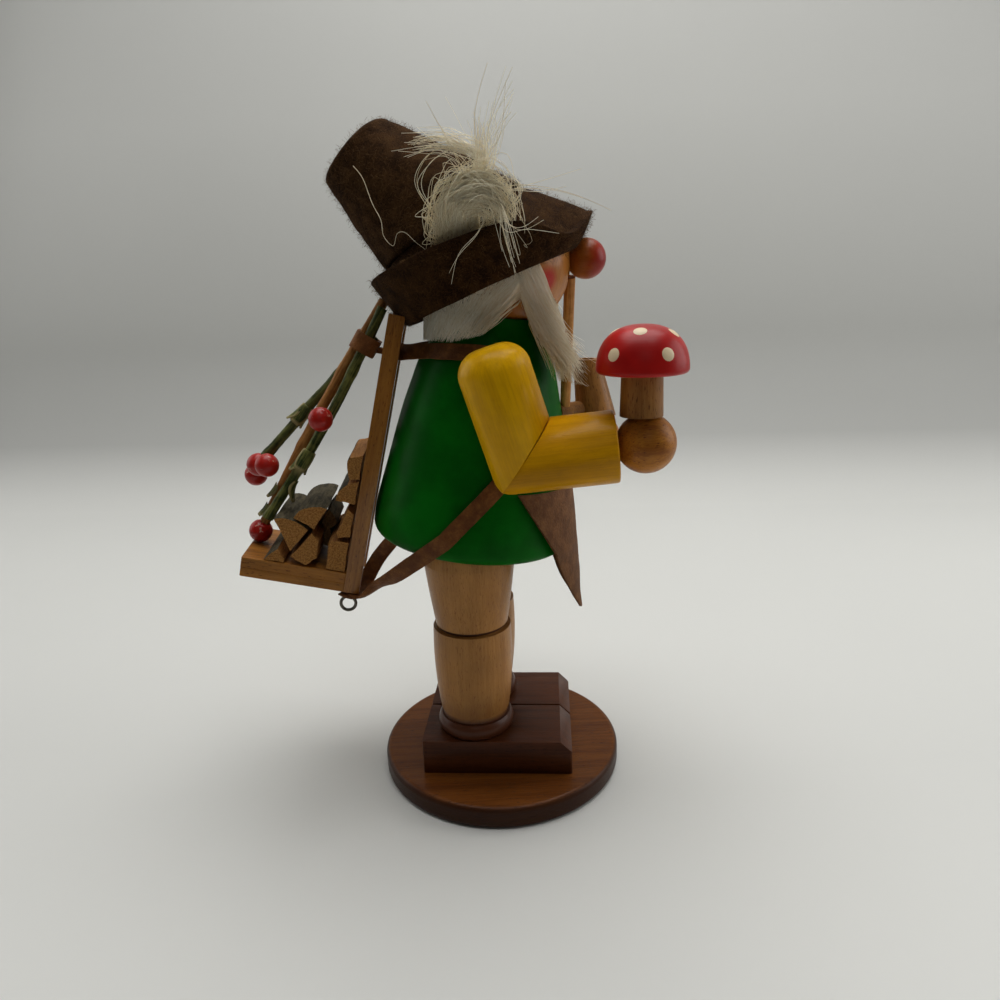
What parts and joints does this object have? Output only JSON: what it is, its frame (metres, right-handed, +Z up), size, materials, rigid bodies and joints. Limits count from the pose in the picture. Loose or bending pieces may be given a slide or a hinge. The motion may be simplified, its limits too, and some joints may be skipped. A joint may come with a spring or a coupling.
{
  "type": "incense smoker figure",
  "caption": "Wooden incense smoker figure of a mushroom gatherer: the hollow coat lifts off a plug with a tin dish, and a firewood carrier hangs on its back.",
  "frame": {"origin": "centre of the base disc's underside, on the surface it stands on", "axes": "+Z up, +X the way the figure looks, +Y its left side"},
  "size_m": [0.188, 0.1312, 0.285],
  "materials": {
    "base_wood": "amber stain under clear lacquer",
    "shoe_wood": "dark red-brown stain, satin",
    "leg_wood": "beech under clear lacquer",
    "raw_wood": "bare turned wood",
    "coat_paint": "turned wood in green gloss paint",
    "skin_wood": "light wood with clear lacquer and a painted blush",
    "arm_wood": "yellow glaze under clear lacquer",
    "cap_paint": "red gloss paint with cream dots",
    "twig_wood": "natural branch with bark",
    "green_stem": "dried green stem",
    "berry_red": "red bead with pale patches",
    "felt_brown": "brown wool felt",
    "white_fur": "white fur",
    "blond_hair": "blond brush hair",
    "brown_leather": "brown leather",
    "tan_leather": "tan leather",
    "carrier_wood": "sawn wood under thin varnish",
    "split_log": "split firewood with bark",
    "tin": "pressed tin plate",
    "dark_steel": "darkened steel wire"
  },
  "bodies": {
    "stand": {"base_disc": "base_wood", "base_screws": "dark_steel", "shoe_right": "shoe_wood", "shoe_left": "shoe_wood", "leg_right": "leg_wood", "leg_left": "leg_wood", "waist_plug": "raw_wood"},
    "tray": {"incense_tray": "tin"},
    "figure": {"coat": "coat_paint", "head": "skin_wood", "nose": "skin_wood", "upper_arm_right": "arm_wood", "upper_arm_left": "arm_wood", "forearm_right": "arm_wood", "forearm_left": "arm_wood", "hand_right": "skin_wood", "hand_left": "skin_wood", "shoulder_dowels": "raw_wood", "elbow_dowels": "raw_wood", "wrist_pegs": "raw_wood", "palm_pegs": "raw_wood", "mushroom_stalk": "raw_wood", "mushroom_cap": "cap_paint", "pipe_bowl": "twig_wood", "pipe_stem": "twig_wood", "hat_crown": "felt_brown", "hat_brim": "felt_brown", "hat_tuft": "blond_hair", "hair": "white_fur", "beard": "white_fur", "apron": "brown_leather", "strap_right": "brown_leather", "strap_left": "brown_leather", "strap_tacks": "dark_steel", "screw_eye": "dark_steel", "carrier_post_right": "carrier_wood", "carrier_post_left": "carrier_wood", "carrier_slat_low": "carrier_wood", "carrier_slat_middle": "carrier_wood", "carrier_slat_top": "carrier_wood", "carrier_bearer_right": "carrier_wood", "carrier_bearer_left": "carrier_wood", "carrier_floor": "carrier_wood", "log_top": "split_log", "log_quarter": "split_log", "log_split": "split_log", "log_corner": "split_log", "log_wide": "split_log", "log_round": "split_log", "log_wedge": "split_log", "log_chip": "split_log", "log_back": "split_log", "brown_twig": "twig_wood", "green_twig_near": "green_stem", "green_twig_far": "green_stem", "berries": "berry_red", "twig_band": "tan_leather"}
  },
  "joints": [
    {"name": "tray_turn", "type": "hinge", "parent": "stand", "child": "tray", "pos_m": [-0.0102, 0, 0.1123], "axis": [0.1305, 0, 0.9914], "continuous": true},
    {"name": "figure_lift", "type": "slide", "parent": "tray", "child": "figure", "axis": [0.1305, 0, 0.9914], "range_m": [0, 0.07]}
  ]
}
